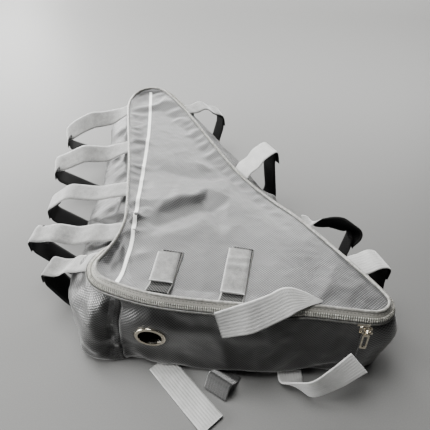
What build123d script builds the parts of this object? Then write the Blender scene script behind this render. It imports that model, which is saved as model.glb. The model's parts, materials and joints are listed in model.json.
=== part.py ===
from build123d import *
import os
from math import atan2, cos, degrees, hypot, radians, sin

# Triangular soft bag for the inside of a bicycle frame, lying on its back panel.
# Millimetres. X runs along the base, Y towards the apex, Z up. The origin is on the underside of the
# back panel. Corners: B is left of the base, C right of the base, A the apex.

# Driving dimensions of the bag
CORNER_B = (-115.0, -107.0)
CORNER_C = (190.0, -107.0)
CORNER_A = (-177.0, 366.5)
LEFT_BEND = (-120.0, 30.0)
RADII = {"B": 30.0, "C": 14.0, "A": 28.0, "bend": 400.0}
HEIGHT = 105.0
PANEL = 2.0
WALL = 2.0
TAPE = 1.2

# How far the wall stands out past the front panel's edge at each height:
# (z, left side and apex, base, long side where it meets corner C)
WALL_PROFILE = [
    (2.0, 15.0, 15.0, 8.0),
    (16.0, 30.0, 20.0, 11.0),
    (50.0, 40.0, 20.0, 13.0),
    (74.0, 34.0, 20.0, 12.0),
    (84.0, 26.0, 14.0, 11.0),
    (94.0, 15.0, 8.0, 7.0),
    (103.0, 2.0, 2.0, 2.0),
]
ZIP_LOW = 84.0
ZIP_PARTING = 94.0
WALL_TOP = 103.0

# The lid hinge is the straight long side, from A to C, and starts at the first of these points
HINGE_START = (-70.0, 228.0)
# Where the wall's panels meet: x of the three seams in the base, and the long side's stretch of its line
SEAM_X_BASE = (-80.0, -32.0, 150.0)
LONG_SPAN = (-50.0, 362.0)

# Seam piping and zip
PIPING_R = 1.5
COIL_R = 1.4
COIL_LIFT = 1.6
GAP_AT_HINGE = {"lower": 1.2, "upper": 1.6}

# Slider: a front plate with a bridge for the pull, and a back plate behind the tapes
SLIDER_X = 155.0
SLIDER_LENGTH = 12.0
SLIDER_HEIGHT = 10.0
SLIDER_LOW = 89.5
SLIDER_PLATE = 1.3
SLIDER_CLEARANCE = 0.35
BACK_PLATE_Y = (-113.8, -112.6)
BACK_PLATE_Z = (89.8, 93.2)
BRIDGE_Y = -124.6
BRIDGE_Z = 97.0
BRIDGE_R = 0.9
BRIDGE_POST = 4.0

# Pull: a ring on the bridge and a slotted tab, leaning on the wall
PULL_RING_R = 2.0
PULL_WIRE_R = 0.8
PULL_WIDTH = 6.6
PULL_LENGTH = 22.5
PULL_THICKNESS = 1.4
PULL_SLOT = (15.0, 3.4)
PULL_LEAN = -10.0

# Cable grommet in the base wall
GROMMET_X = -56.0
GROMMET_Z = 55.0
GROMMET_Y = CORNER_B[1] - 20.0
GROMMET_BORE_R = 12.75
GROMMET_BARREL_R = 13.6
GROMMET_FLANGE_R = 16.5
GROMMET_FLANGE = 1.4
WASHER_R = 16.2
WASHER = 0.8
EYELET_HOLE_R = 13.9

# Webbing
WEBBING = 1.8
LOOP_WIDTH = 28.0
OVERLAP_GAP = 0.4
OVERLAP_REACH = 24.0
LOWER_ROOT_Z = 1.3
LOWER_ROOT_LENGTH = 14.0

# Loops of hook-and-loop webbing. Each has the seam point under its middle (x, y of the front panel's
# edge), the azimuth it leaves at, and then distances out from that point and heights: where the upper
# strap starts, its middle knee, its tip, how far the tip hangs down, the lower strap's knee, and how far
# the hanging end leans out.
LOOPS = {
    "left_loop_1": dict(at=(-155.0, 232.0), azimuth=195.0, foot=19.0, start=(26.0, 88.6),
                        knee=(62.0, 88.0), tip=(108.0, 64.0), drop=16.0, low=(66.0, 22.0)),
    "left_loop_2": dict(at=(-138.5, 137.0), azimuth=190.0, foot=17.5, start=(24.0, 88.6),
                        knee=(62.0, 89.0), tip=(108.0, 72.0), drop=17.0, low=(66.0, 24.0)),
    "left_loop_3": dict(at=(-123.5, 50.0), azimuth=183.0, foot=20.0, start=(26.0, 88.6),
                        knee=(72.0, 90.0), tip=(102.0, 68.0), drop=17.0, low=(64.0, 22.0)),
    "left_loop_4": dict(at=(-118.0, -22.0), azimuth=181.0, foot=18.0, start=(23.8, 88.6),
                        knee=(60.0, 86.0), tip=(99.0, 86.0), drop=20.0, low=(60.0, 26.0)),
    "left_loop_5": dict(at=(-113.5, -72.0), azimuth=168.0, foot=25.0, start=(36.0, 85.0),
                        knee=(50.0, 74.0), tip=(80.0, 66.0), drop=16.0, low=(60.0, 20.0)),
    "long_loop_1": dict(along=-13.0, turn=-8.0, foot=20.0, start=(14.5, 97.5),
                        knee=(38.0, 98.0), tip=(68.0, 76.0), drop=16.0, low=(56.0, 24.0)),
    "long_loop_2": dict(along=154.0, turn=0.0, foot=15.0, start=(10.8, 97.5),
                        knee=(24.0, 110.0), tip=(46.0, 118.0), drop=24.0, low=(54.0, 30.0), lean=5.5),
    "long_loop_3": dict(along=268.0, turn=-34.0, foot=26.0, start=(25.0, 95.0),
                        knee=(42.0, 97.0), tip=(68.0, 84.0), drop=18.0, low=(62.0, 26.0)),
    "long_loop_4": dict(along=352.0, turn=-12.0, foot=15.5, start=(12.6, 97.5),
                        knee=(28.0, 106.0), tip=(50.0, 98.0), drop=20.0, low=(56.0, 28.0)),
}

# Short straps on the front panel: middle x, top y, bottom y of the pile strap
FACE_STRAPS = {"left": (-47.5, -48.0, -93.0), "right": (27.5, -35.0, -98.0)}
FACE_STRAP_WIDTH = 25.0
HOOK_STRIP = 1.2
HOOK_END_Y = -103.6
HOOK_GAP = 0.3

# Reflective strip sewn down the front panel
STRIP_POINTS = [(-133.0, 281.0), (-92.0, -40.0), (-91.0, -101.0)]
STRIP_WIDTH = 4.0
STRIP_THICKNESS = 0.4
STRIP_BEND = 300.0

# Straps along the base
FOLDED_ROOT = (97.0, -112.0, 119.5)
FOLDED_TAB = ((72.0, 97.0), (-111.2, -109.4), (105.2, 120.0))
FLOOR_ROOT, FLOOR_AZIMUTH = (-52.0, -126.0), -43.0
STUB_ROOT, STUB_AZIMUTH = (30.0, -127.5), -117.0
TWISTED_ROOT = (103.0, -152.0, 19.6)
TWISTED_WIDTH = 27.0

PARTS = {}


def keep(name, solid):
    """Name a finished sub-part."""
    solid.label = name
    PARTS[name] = solid


# ---------------------------------------------------------------- outline and wall


def offset_line(start, end, at_start, at_end):
    """A side of the outline, each end moved outwards (the outline runs anticlockwise)."""
    dx, dy = end[0] - start[0], end[1] - start[1]
    length = hypot(dx, dy)
    out_x, out_y = dy / length, -dx / length
    x0, y0 = start[0] + out_x * at_start, start[1] + out_y * at_start
    x1, y1 = end[0] + out_x * at_end, end[1] + out_y * at_end
    return (x0, y0), (x1 - x0, y1 - y0)


def crossing(line_a, line_b):
    """Where two lines, each a point and a direction, cross."""
    (ax, ay), (adx, ady) = line_a
    (bx, by), (bdx, bdy) = line_b
    step = ((bx - ax) * bdy - (by - ay) * bdx) / (adx * bdy - ady * bdx)
    return ax + step * adx, ay + step * ady


def outline(side, base, right, z):
    """Closed outline at height z, its sides moved out; right is the long side's distance at C."""
    corners = [CORNER_B, CORNER_C, CORNER_A, LEFT_BEND]
    moves = [(base, base), (right, side), (side, side), (side, side)]
    lines = []
    for index, (at_start, at_end) in enumerate(moves):
        lines.append(offset_line(corners[index], corners[(index + 1) % 4], at_start, at_end))
    points = [crossing(lines[index - 1], lines[index]) for index in range(4)]
    radii = [RADII["B"] + (side + base) / 2, RADII["C"] + (right + base) / 2, RADII["A"] + side]
    radii.append(RADII["bend"])
    return FilletPolyline(*[(x, y, z) for x, y in points], radius=radii, close=True)


def profile_at(z):
    """Stand-out of the left side, the base and the long side's end at C, at height z."""
    for lower, upper in zip(WALL_PROFILE, WALL_PROFILE[1:]):
        if lower[0] <= z <= upper[0]:
            part = (z - lower[0]) / (upper[0] - lower[0])
            return [low + part * (high - low) for low, high in zip(lower[1:], upper[1:])]
    return WALL_PROFILE[-1][1:]


def stacked(z_low, z_high, inset):
    """Solid whose skin is the wall surface between two heights, moved in by inset."""
    heights = [z_low] + [row[0] for row in WALL_PROFILE if z_low < row[0] < z_high] + [z_high]
    sections = []
    for z in heights:
        sections.append(make_face(outline(*[distance - inset for distance in profile_at(z)], z)))
    return loft(sections, ruled=True)


def skin(z_low, z_high, thickness):
    """Hollow ring of wall between two heights."""
    return stacked(z_low, z_high, 0.0) - stacked(z_low, z_high, thickness)


def hinge_plane(z=0.0):
    """Frame of the long side: local x along it from A to C, local y outwards."""
    along = Vector(CORNER_C[0] - CORNER_A[0], CORNER_C[1] - CORNER_A[1], 0).normalized()
    return Plane(origin=(*HINGE_START, z), x_dir=along, z_dir=(0, 0, 1))


def block(x0, x1, y0, y1, z0, z1):
    """Box between two corners."""
    return Pos((x0 + x1) / 2, (y0 + y1) / 2, (z0 + z1) / 2) * Box(x1 - x0, y1 - y0, z1 - z0)


def lid_side(gap):
    """Everything on the lid's side of the hinge line, less a gap."""
    return hinge_plane() * block(-400, 700, -600, -gap, -50, 300)


def long_region():
    """Where the wall belongs to the long gusset: the long side and the corner C."""
    beside = hinge_plane() * block(LONG_SPAN[0], LONG_SPAN[1], -20, 95, -5, 200)
    corner = block(SEAM_X_BASE[2], 320, -220, 20, -5, 200)
    return beside + corner


def base_region(x0, x1):
    """Where the wall belongs to a stretch of the base gusset."""
    return block(x0, x1, -220, -60, -5, 200)


def bag_walls():
    """The four wall panels, open where the zip runs."""
    ring = skin(PANEL, WALL_TOP, WALL)
    zip_zone = lid_side(1.0) & block(-500, 500, -500, 600, ZIP_LOW, HEIGHT)
    ring -= zip_zone
    hole = Pos(GROMMET_X, GROMMET_Y, GROMMET_Z) * Rot(90, 0, 0) * Cylinder(EYELET_HOLE_R, 30)
    keep("gusset_long", ring & long_region())
    start, seam, end = SEAM_X_BASE
    keep("gusset_base_eyelet_panel", (ring & base_region(start, seam)) - hole)
    keep("gusset_base", ring & base_region(seam, end))
    keep("gusset_left", ring - long_region() - base_region(start, end))


def panels():
    """The back panel on the floor and the front panel, the lid."""
    keep("back_panel", extrude(make_face(outline(*WALL_PROFILE[0][1:], 0.0)), PANEL))
    inset = 2 * PIPING_R + 0.05
    lid = make_face(outline(-inset, -inset, -inset, HEIGHT - PANEL))
    keep("front_panel", extrude(lid, PANEL))


def tube_along(path, radius):
    """Round tube along a closed path."""
    section = Plane(origin=path @ 0, z_dir=path % 0) * Circle(radius)
    return sweep(section, path=path)


def coil_offsets(z):
    """Where a coil's middle stands, so that it lies on the outside of the sloping tape."""
    places = []
    for here, above in zip(profile_at(z), profile_at(z + 0.5)):
        slope = (here - above) / 0.5
        places.append(here + COIL_R * hypot(1.0, slope) + 0.05)
    return places


def piping_and_zip():
    """Piping round the lid, and the zip's two tapes and coils on the lid's free sides."""
    seam = outline(-PIPING_R, -PIPING_R, -PIPING_R, HEIGHT - PIPING_R)
    keep("front_piping", tube_along(seam, PIPING_R))
    low_tape = skin(ZIP_LOW, ZIP_PARTING - 0.2, TAPE)
    keep("zip_tape_lower", low_tape & lid_side(GAP_AT_HINGE["lower"]))
    high_tape = skin(ZIP_PARTING + 0.2, WALL_TOP - 0.1, TAPE)
    keep("zip_tape_upper", high_tape & lid_side(GAP_AT_HINGE["upper"]))
    for side, lift in (("lower", -COIL_LIFT), ("upper", COIL_LIFT)):
        z = ZIP_PARTING + lift
        path = outline(*coil_offsets(z), z)
        keep(f"zip_coil_{side}", tube_along(path, COIL_R) & lid_side(GAP_AT_HINGE[side]))


# ---------------------------------------------------------------- slider, pull, grommet


def slider_front_y():
    """Outermost point of the lower coil on the base."""
    return CORNER_B[1] - coil_offsets(ZIP_PARTING - COIL_LIFT)[1] - COIL_R


def slider():
    """Front plate with its bridge, and the back plate."""
    front = slider_front_y() - SLIDER_CLEARANCE
    x0, x1 = SLIDER_X - SLIDER_LENGTH / 2, SLIDER_X + SLIDER_LENGTH / 2
    plate = block(x0, x1, front - SLIDER_PLATE, front, SLIDER_LOW, SLIDER_LOW + SLIDER_HEIGHT)
    plate = fillet(plate.edges().filter_by(Axis.Y), 2.5)
    for x in (SLIDER_X - BRIDGE_POST, SLIDER_X + BRIDGE_POST):
        plate += block(x - 1.0, x + 1.0, BRIDGE_Y - BRIDGE_R, front - 1.0, BRIDGE_Z - 1.1, BRIDGE_Z + 1.1)
    bar = Pos(SLIDER_X, BRIDGE_Y, BRIDGE_Z) * Rot(0, 90, 0) * Cylinder(BRIDGE_R, 2 * BRIDGE_POST - 1.0)
    keep("zip_slider", plate + bar)
    keep("zip_slider_back_plate", block(x0, x1, *BACK_PLATE_Y, *BACK_PLATE_Z))


def pull():
    """Pull tab hanging from the bridge, leaning on the wall."""
    ring = Rot(0, 90, 0) * Torus(PULL_RING_R, PULL_WIRE_R)
    half, thick = PULL_WIDTH / 2, PULL_THICKNESS / 2
    tab = block(-half, half, -thick, thick, -PULL_LENGTH, -PULL_RING_R)
    tab = fillet(tab.edges().filter_by(Axis.Y), 2.0)
    cut = extrude(SlotOverall(*PULL_SLOT, rotation=90), 3, both=True)
    slot = Pos(0, 0, -12.5) * Rot(90, 0, 0) * cut
    hanging = ring + (tab - slot)
    keep("zip_pull", Pos(SLIDER_X, BRIDGE_Y, BRIDGE_Z) * Rot(PULL_LEAN, 0, 0) * hanging)


def grommet():
    """Flange and barrel through the wall, and the washer that they are set in behind it."""
    face = Pos(GROMMET_X, GROMMET_Y, GROMMET_Z) * Rot(90, 0, 0)
    disc = Pos(0, 0, GROMMET_FLANGE / 2) * Cylinder(GROMMET_FLANGE_R, GROMMET_FLANGE)
    disc = fillet(disc.edges().group_by(Axis.Z)[-1], 0.9)
    barrel = Pos(0, 0, -1.2) * Cylinder(GROMMET_BARREL_R, 5.2)
    bore = Cylinder(GROMMET_BORE_R, 30)
    keep("grommet_flange", face * (disc + barrel - bore))
    ring = Cylinder(WASHER_R, WASHER) - Cylinder(GROMMET_BARREL_R + 0.05, 2)
    keep("grommet_washer", face * Pos(0, 0, -WALL - WASHER / 2) * ring)


# ---------------------------------------------------------------- webbing


def band(plane, path, radii, width=LOOP_WIDTH, thickness=WEBBING):
    """Flat webbing: a path in the plane's x and y, of even thickness, extruded to its width."""
    line = FilletPolyline(*path, radius=radii)
    ribbon = make_face(offset(line, amount=thickness / 2, side=Side.BOTH, kind=Kind.ARC))
    return plane * extrude(ribbon, width / 2, both=True)


def upright_plane(origin, azimuth):
    """Plane whose x points outwards at the azimuth and whose y points up."""
    out = Vector(cos(radians(azimuth)), sin(radians(azimuth)), 0)
    return Plane(origin=(origin[0], origin[1], 0), x_dir=out, z_dir=out.cross(Vector(0, 0, 1)))


def long_side_azimuth():
    """The direction square to the long side, in degrees."""
    return degrees(atan2(CORNER_C[0] - CORNER_A[0], CORNER_A[1] - CORNER_C[1]))


def loop_plane(spec):
    """Upright plane through the middle of a loop."""
    if "at" in spec:
        return upright_plane(spec["at"], spec["azimuth"])
    root = hinge_plane().from_local_coords(Vector(spec["along"], 0, 0))
    return upright_plane((root.X, root.Y), long_side_azimuth() + spec["turn"])


def loop_paths(spec):
    """Upper strap: out, over the tip and down. Lower strap: along the floor, up and back under it."""
    (sx, sz), (kx, kz), (tx, tz) = spec["start"], spec["knee"], spec["tip"]
    upper = [(sx, sz), (kx, kz), (tx, tz), (tx + spec.get("lean", 0.5), tz - spec["drop"])]
    step = WEBBING + OVERLAP_GAP
    slope = Vector(tx - kx, tz - kz, 0).normalized()
    under = Vector(slope.Y, -slope.X, 0) * step
    run = (tx - step - kx - under.X) / slope.X
    inner_tip = (tx - step, kz + under.Y + slope.Y * run)
    reach = min(OVERLAP_REACH, 0.6 * hypot(tx - kx, tz - kz))
    back = (inner_tip[0] - slope.X * reach, inner_tip[1] - slope.Y * reach)
    low_x, low_z = spec["low"]
    foot = spec["foot"]
    lower = [(foot, LOWER_ROOT_Z), (foot + LOWER_ROOT_LENGTH, LOWER_ROOT_Z), (low_x, low_z),
             (inner_tip[0], inner_tip[1] - 18.0), inner_tip, back]
    return upper, lower


def loops():
    """Every loop's two straps."""
    for name, spec in LOOPS.items():
        plane = loop_plane(spec)
        upper, lower = loop_paths(spec)
        keep(f"{name}_upper_strap", band(plane, upper, [10.0, 6.0]))
        keep(f"{name}_lower_strap", band(plane, lower, [12.0, 14.0, 8.0, 6.0 - WEBBING - OVERLAP_GAP]))


def face_straps():
    """A hook strip sewn on the lid and the pile strap lying on it, twice."""
    for side, (x, top, bottom) in FACE_STRAPS.items():
        x0, x1 = x - FACE_STRAP_WIDTH / 2, x + FACE_STRAP_WIDTH / 2
        keep(f"face_hook_strip_{side}", block(x0, x1, HOOK_END_Y, top, HEIGHT, HEIGHT + HOOK_STRIP))
        z0 = HEIGHT + HOOK_STRIP + HOOK_GAP
        keep(f"face_pile_strap_{side}", block(x0, x1, bottom, top, z0, z0 + WEBBING))


def reflective_strip():
    """Thin tape that follows the lid's left side."""
    line = FilletPolyline(*[(x, y, HEIGHT) for x, y in STRIP_POINTS], radius=STRIP_BEND)
    ribbon = make_face(offset(line, amount=STRIP_WIDTH / 2, side=Side.BOTH, kind=Kind.ARC))
    keep("reflective_strip", extrude(ribbon, STRIP_THICKNESS, dir=(0, 0, 1)))


def base_strap_folded():
    """Strap sewn into the front seam: up out of it and folded over to the left, clear of the zip."""
    along = Vector(-1, -0.06, -0.22).normalized()
    across = (Vector(0, 0.33, 0.94) - along * Vector(0, 0.33, 0.94).dot(along)).normalized()
    plane = Plane(origin=FOLDED_ROOT, x_dir=along, z_dir=across)
    path = [(0.0, 0.0), (16.0, 4.0), (40.0, 11.0), (88.0, 12.5)]
    (x0, x1), (y0, y1), (z0, z1) = FOLDED_TAB
    keep("base_strap_folded", band(plane, path, [20.0, 40.0]) + block(x0, x1, y0, y1, z0, z1))


def base_strap_floor():
    """Long strap lying on the floor in front of the base."""
    plane = upright_plane(FLOOR_ROOT, FLOOR_AZIMUTH)
    keep("base_strap_floor", band(plane, [(12.0, 1.3), (50.0, 1.3), (92.0, 2.6)], [80.0]))


def base_strap_stub():
    """Short folded strap standing up like a tent."""
    plane = upright_plane(STUB_ROOT, STUB_AZIMUTH)
    keep("base_strap_stub", band(plane, [(8.5, 1.4), (20.0, 20.0), (32.0, 2.4)], [2.4]))


def base_strap_twisted():
    """Strap that leaves the bottom seam, turns on edge and runs up to the right."""
    along = Vector(0.76, 0.24, 0.60).normalized()
    across = (Vector(-0.5, 0.35, 0.79) - along * Vector(-0.5, 0.35, 0.79).dot(along)).normalized()
    plane = Plane(origin=TWISTED_ROOT, x_dir=along, z_dir=across)
    path = [(-10.0, 7.0), (12.0, -1.0), (68.0, 0.0)]
    keep("base_strap_twisted", band(plane, path, [30.0], width=TWISTED_WIDTH))


def export_all():
    """One STEP file for each sub-part."""
    os.makedirs("parts", exist_ok=True)
    for name, solid in PARTS.items():
        export_step(solid, f"parts/{name}.step")


bag_walls()
panels()
piping_and_zip()
slider()
pull()
grommet()
loops()
face_straps()
reflective_strip()
base_strap_folded()
base_strap_floor()
base_strap_stub()
base_strap_twisted()
export_all()
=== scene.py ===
# A triangular bicycle frame bag, lying on its back panel. Its fabric is draped by cloth simulation; its
# webbing and zip are modelled directly, and its metal is the imported parts with softened edges. Shapes below
# are in millimetres in the frame's axes (X along the base, Y to the apex, Z up) and become metres when a mesh
# is made.
import json
from math import cos, pi, radians, sin

import bpy
import numpy as np
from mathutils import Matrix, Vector, geometry, noise
from mathutils.bvhtree import BVHTree


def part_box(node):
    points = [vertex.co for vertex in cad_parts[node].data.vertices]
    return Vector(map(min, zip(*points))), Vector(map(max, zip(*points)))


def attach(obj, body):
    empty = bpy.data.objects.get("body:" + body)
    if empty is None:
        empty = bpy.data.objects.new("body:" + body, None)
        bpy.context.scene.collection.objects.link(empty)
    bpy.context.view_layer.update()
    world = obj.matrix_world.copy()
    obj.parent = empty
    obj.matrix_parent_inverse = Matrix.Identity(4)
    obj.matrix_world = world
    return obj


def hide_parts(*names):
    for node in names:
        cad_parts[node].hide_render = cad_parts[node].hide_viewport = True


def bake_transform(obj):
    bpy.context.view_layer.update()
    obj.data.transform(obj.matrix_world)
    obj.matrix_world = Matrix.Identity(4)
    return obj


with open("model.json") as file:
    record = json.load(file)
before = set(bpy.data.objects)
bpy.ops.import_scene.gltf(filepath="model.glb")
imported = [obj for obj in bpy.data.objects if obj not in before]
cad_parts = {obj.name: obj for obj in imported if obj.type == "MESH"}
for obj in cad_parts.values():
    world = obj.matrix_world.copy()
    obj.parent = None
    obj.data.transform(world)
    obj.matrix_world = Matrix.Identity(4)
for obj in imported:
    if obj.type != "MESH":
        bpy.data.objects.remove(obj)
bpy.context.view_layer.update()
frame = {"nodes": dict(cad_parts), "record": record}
MM = 0.001
JOINTS = {joint["name"]: joint for joint in frame["record"]["behaviour"]["joints"]}

# ---------------------------------------------------------------- driving dimensions

# The front panel's seam, anticlockwise from beside corner B: x, y, z. It sags along the long side.
SEAM = [
    (-88, -102, 107), (-50, -110, 107), (0, -111, 105), (60, -110, 104), (100, -106, 105), (140, -106, 104),
    (168, -105, 103), (180, -94, 103), (174, -78, 103), (136, -32, 103), (96, 20, 97), (60, 58, 92),
    (20, 105, 90), (-20, 161, 94), (-66, 228, 100), (-98, 267, 104), (-121, 289, 105), (-143, 288, 105),
    (-158, 272, 104), (-162, 240, 104), (-153, 198, 103), (-142, 156, 103), (-128, 102, 103), (-117, 52, 103),
    (-110, 20, 103), (-106, -4, 103), (-106, -22, 103), (-109, -42, 103), (-115, -62, 104), (-119, -77, 106),
    (-112, -92, 107),
]
TOP = 105.0
# How far the wall stands out past the seam: height, on the left side and apex, on the base, at corner C
# and at corner B
WALL = [
    (0, 14, 10, 6, 32), (5, 21, 14, 8, 36), (16, 31, 18, 10, 40), (32, 39, 20, 11, 41), (50, 42, 21, 12, 39),
    (66, 40, 22, 13, 36), (72, 37, 21.5, 13, 32), (80, 31, 16, 11, 25), (88, 22, 9, 8, 16), (96, 11, 5, 5, 9),
    (103, 2, 2, 2, 2), (105, 0, 0, 0, 0),
]
CORNER_B = (-107, -97)
CORNER_B_REACH = 23.0
# The left side bulges further: where its middle is along Y, how far it reaches, and by how much
LEFT_BULGE = (5.0, 100.0, 0.6)
# The same for the long side, its middle given along the hinge
LONG_BULGE = (150.0, 90.0, 0.35)
BAND = 16.0
GRID = 5.2
FABRIC = 0.9
# The lowest that the cloth's middle surface lies
FLOOR_GAP = 0.6
# Draping: how many frames it runs, the furthest that a point moves, the air's push, how much the cloth grows
DRAPE_FRAMES = 18
DRAPE_CAP = 9.0
PRESSURE = 1.2
GROW = 0.028
# Draping moves the face less near corner C: the X it starts and ends at, the lowest height, the share lost
CALM = (20.0, 100.0, 88.0, 0.75)
# Patches of the skin that handling has crumpled or dented: middle and reach, in X and in Y
CRUMPLED = ((-103, 17), (2, 36))
DENTED = ((-5, 60), (45, 45))
CORNER_CRUMPLED = ((-125, 40), (-95, 45))
# The wall under the zip lies beyond this Y. Round the eyelet it is cut out, flat, and then eases off.
BASE_FACE = -105.0
EYELET_HOLE = 14.0
EYELET_FLAT = 20.0
EYELET_EASED = 40.0
PIPING_RADIUS = 1.7
BINDING_RADIUS = 1.3

LOOP_WIDTH = 28.0
FACE_WIDTH = 25.0
BASE_WIDTH = 27.0
WEBBING = 1.8
RIBS = 9
# Bare edges of the pile and hook webbing
SELVEDGE = 1.6
HOOK_SELVEDGE = 3.0
# Loops as in the CAD model: seam point or place along the hinge, azimuth or turn, the lower strap's foot,
# then distance out and height of the upper strap's start, knee and tip, the tip's drop and the lower
# strap's knee. Where it differs from the other loops: how far the straps overlap, how the tip leans.
# How the upper strap departs from a flat band: a wave in its height (size, length, phase), and its twist
# in degrees at its root, middle and tip.
LOOPS = {
    "left_loop_1": dict(
        at=(-155, 232), azimuth=195, foot=19, start=(26, 88.6), knee=(62, 88), tip=(108, 64), drop=16,
        low=(66, 22), overlap=7, wave=(2.5, 70, 0.4), twist=(12, 32, 24),
    ),
    "left_loop_2": dict(
        at=(-138.5, 137), azimuth=190, foot=17.5, start=(24, 88.6), knee=(62, 89), tip=(108, 72), drop=17,
        low=(66, 24), overlap=7, wave=(1.8, 60, 1.0), twist=(8, 24, 18),
    ),
    "left_loop_3": dict(
        at=(-123.5, 50), azimuth=183, foot=20, start=(26, 88.6), knee=(72, 90), tip=(102, 68), drop=17,
        low=(64, 22), wave=(1.2, 66, 0.0), twist=(0, 2, 6),
    ),
    "left_loop_4": dict(
        at=(-118, -22), azimuth=181, foot=18, start=(23.8, 88.6), knee=(60, 86), tip=(99, 86), drop=20,
        low=(60, 26), wave=(4.0, 44, 2.6), twist=(0, 6, -8),
    ),
    "left_loop_5": dict(
        at=(-113.5, -72), azimuth=168, foot=25, start=(36, 85), knee=(50, 74), tip=(80, 66), drop=16,
        low=(60, 20), wave=(2.5, 40, 0.8), twist=(0, -6, 8),
    ),
    "long_loop_1": dict(
        along=-13, turn=-8, foot=20, start=(14.5, 97.5), knee=(38, 98), tip=(68, 76), drop=16, low=(56, 24),
        wave=(3.0, 34, 2.2), twist=(0, 0, -6),
    ),
    "long_loop_2": dict(
        along=154, turn=0, foot=15, start=(10.8, 97.5), knee=(24, 110), tip=(46, 118), drop=24,
        low=(54, 30), lean=5.5, wave=(0.8, 30, 0.0), twist=(0, 0, 0),
    ),
    "long_loop_3": dict(
        along=268, turn=-34, foot=26, start=(25, 95), knee=(42, 97), tip=(68, 84), drop=18, low=(62, 26),
        overlap=7, wave=(1.5, 40, 1.4), twist=(60, 75, 45),
    ),
    "long_loop_4": dict(
        along=352, turn=-12, foot=15.5, start=(12.6, 97.5), knee=(27, 103), tip=(46, 93), drop=18,
        low=(52, 28), wave=(2.0, 30, 0.6), twist=(0, 0, 6),
    ),
}

# The bends of the loops' straps, from the seam outwards
UPPER_RADII = [14.0, 12.0, 16.0, 6.0]
LOWER_RADII = [12.0, 14.0, 8.0, 4.0]
# How often a loop's path is smoothed
LOOP_PASSES = 6
OVERLAP = 24.0
# The lower straps' sewn feet lie flat under the wall
FOOT_LENGTH = 14.0
FOOT_HEIGHT = 1.3
RIBBED_LOOPS = ("long_loop_2", "long_loop_4")

HINGE = np.array(JOINTS["lid_hinge"]["pos_m"]) / MM
HINGE_DIR = np.array(JOINTS["lid_hinge"]["axis"]) * -1.0
HINGE_OUT = np.array([HINGE_DIR[1] * -1.0, HINGE_DIR[0], 0.0])
LONG_AZIMUTH = np.degrees(np.arctan2(HINGE_OUT[1], HINGE_OUT[0]))


# ---------------------------------------------------------------- curves


def unit(v):
    """The same direction or directions with a length of one."""
    return v / np.maximum(np.linalg.norm(v, axis=-1, keepdims=True), 1e-9)


def spline(points, closed=False, step=1.0):
    """Smooth curve through points (Catmull-Rom), with samples an even step apart."""
    p = np.array(points, float)
    if closed:
        p = np.concatenate([p[-1:], p, p[:2]])
    else:
        p = np.concatenate([2 * p[:1] - p[1:2], p, 2 * p[-1:] - p[-2:-1]])
    t = np.linspace(0, 1, 24, endpoint=False)[:, None]
    out = []
    for a, b, c, d in zip(p[:-3], p[1:-2], p[2:-1], p[3:]):
        out.append(0.5 * (2 * b + (c - a) * t + (2 * a - 5 * b + 4 * c - d) * t**2
                          + (3 * b - a - 3 * c + d) * t**3))
    line = np.concatenate(out + ([] if closed else [p[-2:-1]]))
    return resample(line, step, closed)


def lengths(line):
    """The length along a line at each of its points."""
    return np.concatenate([[0], np.cumsum(np.linalg.norm(np.diff(line, axis=0), axis=1))])


def resample(line, step, closed=False):
    """The same curve with samples an even step apart; every column is carried along."""
    if closed:
        line = np.concatenate([line, line[:1]])
    along = lengths(line[:, :3])
    count = max(4, int(round(along[-1] / step)))
    at = np.linspace(0, along[-1], count + 1)
    if closed:
        at = at[:-1]
    return np.stack([np.interp(at, along, line[:, k]) for k in range(line.shape[1])], axis=1)


def rounded(path, radii, step=1.5):
    """A line in the plane whose inner corners are arcs of the given radii."""
    p = np.array(path, float)
    out = [p[:1]]
    for a, b, c, r in zip(p, p[1:], p[2:], radii):
        u, v = unit(a - b), unit(c - b)
        half = np.arccos(np.clip(u @ v, -1, 1)) / 2
        back = min(r / np.tan(half), 0.48 * np.linalg.norm(a - b), 0.48 * np.linalg.norm(c - b))
        r = back * np.tan(half)
        middle = b + unit(u + v) * r / sin(half)
        start, end = b + u * back - middle, b + v * back - middle
        for t in np.linspace(0, 1, 9):
            out.append((middle + unit(start * (1 - t) + end * t) * r)[None])
    return resample(np.concatenate(out + [p[-1:]]), step)


def smooth(values, passes, closed=False):
    """Averages each sample with its neighbours; the ends stay."""
    for _ in range(passes):
        if closed:
            values = (np.roll(values, 1, 0) + 2 * values + np.roll(values, -1, 0)) / 4
        else:
            inner = (values[:-2] + 2 * values[1:-1] + values[2:]) / 4
            values = np.concatenate([values[:1], inner, values[-1:]])
    return values


def ease(x, low, high):
    """From 0 at low to 1 at high, level at both ends."""
    t = np.clip((x - low) / (high - low), 0, 1)
    return t * t * (3 - 2 * t)


def hump(x, middle, reach, height=1.0):
    """A bell of that height about its middle."""
    return height * np.exp(-((x - middle) / reach) ** 2)


# ---------------------------------------------------------------- meshes


def mesh_object(name, points, faces, uv=None, materials=(), picks=None):
    """A mesh piece from points in millimetres; uv is one pair a point, in millimetres."""
    mesh = bpy.data.meshes.new(name)
    mesh.from_pydata((np.asarray(points, float) * MM).tolist(), [], [list(map(int, f)) for f in faces])
    obj = bpy.data.objects.new(name, mesh)
    bpy.context.scene.collection.objects.link(obj)
    for material in materials:
        mesh.materials.append(material)
    if picks is not None:
        mesh.polygons.foreach_set("material_index", np.asarray(picks, np.int32))
    if uv is not None:
        layer = mesh.uv_layers.new(name="UVMap")
        index = np.zeros(len(mesh.loops), np.int32)
        mesh.loops.foreach_get("vertex_index", index)
        layer.data.foreach_set("uv", (np.asarray(uv, float)[index] * MM).ravel())
    mesh.polygons.foreach_set("use_smooth", [True] * len(mesh.polygons))
    mesh.update()
    return obj


def read_points(mesh):
    """The mesh's points, in millimetres."""
    p = np.zeros(len(mesh.vertices) * 3)
    mesh.vertices.foreach_get("co", p)
    return p.reshape(-1, 3) / MM


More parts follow.
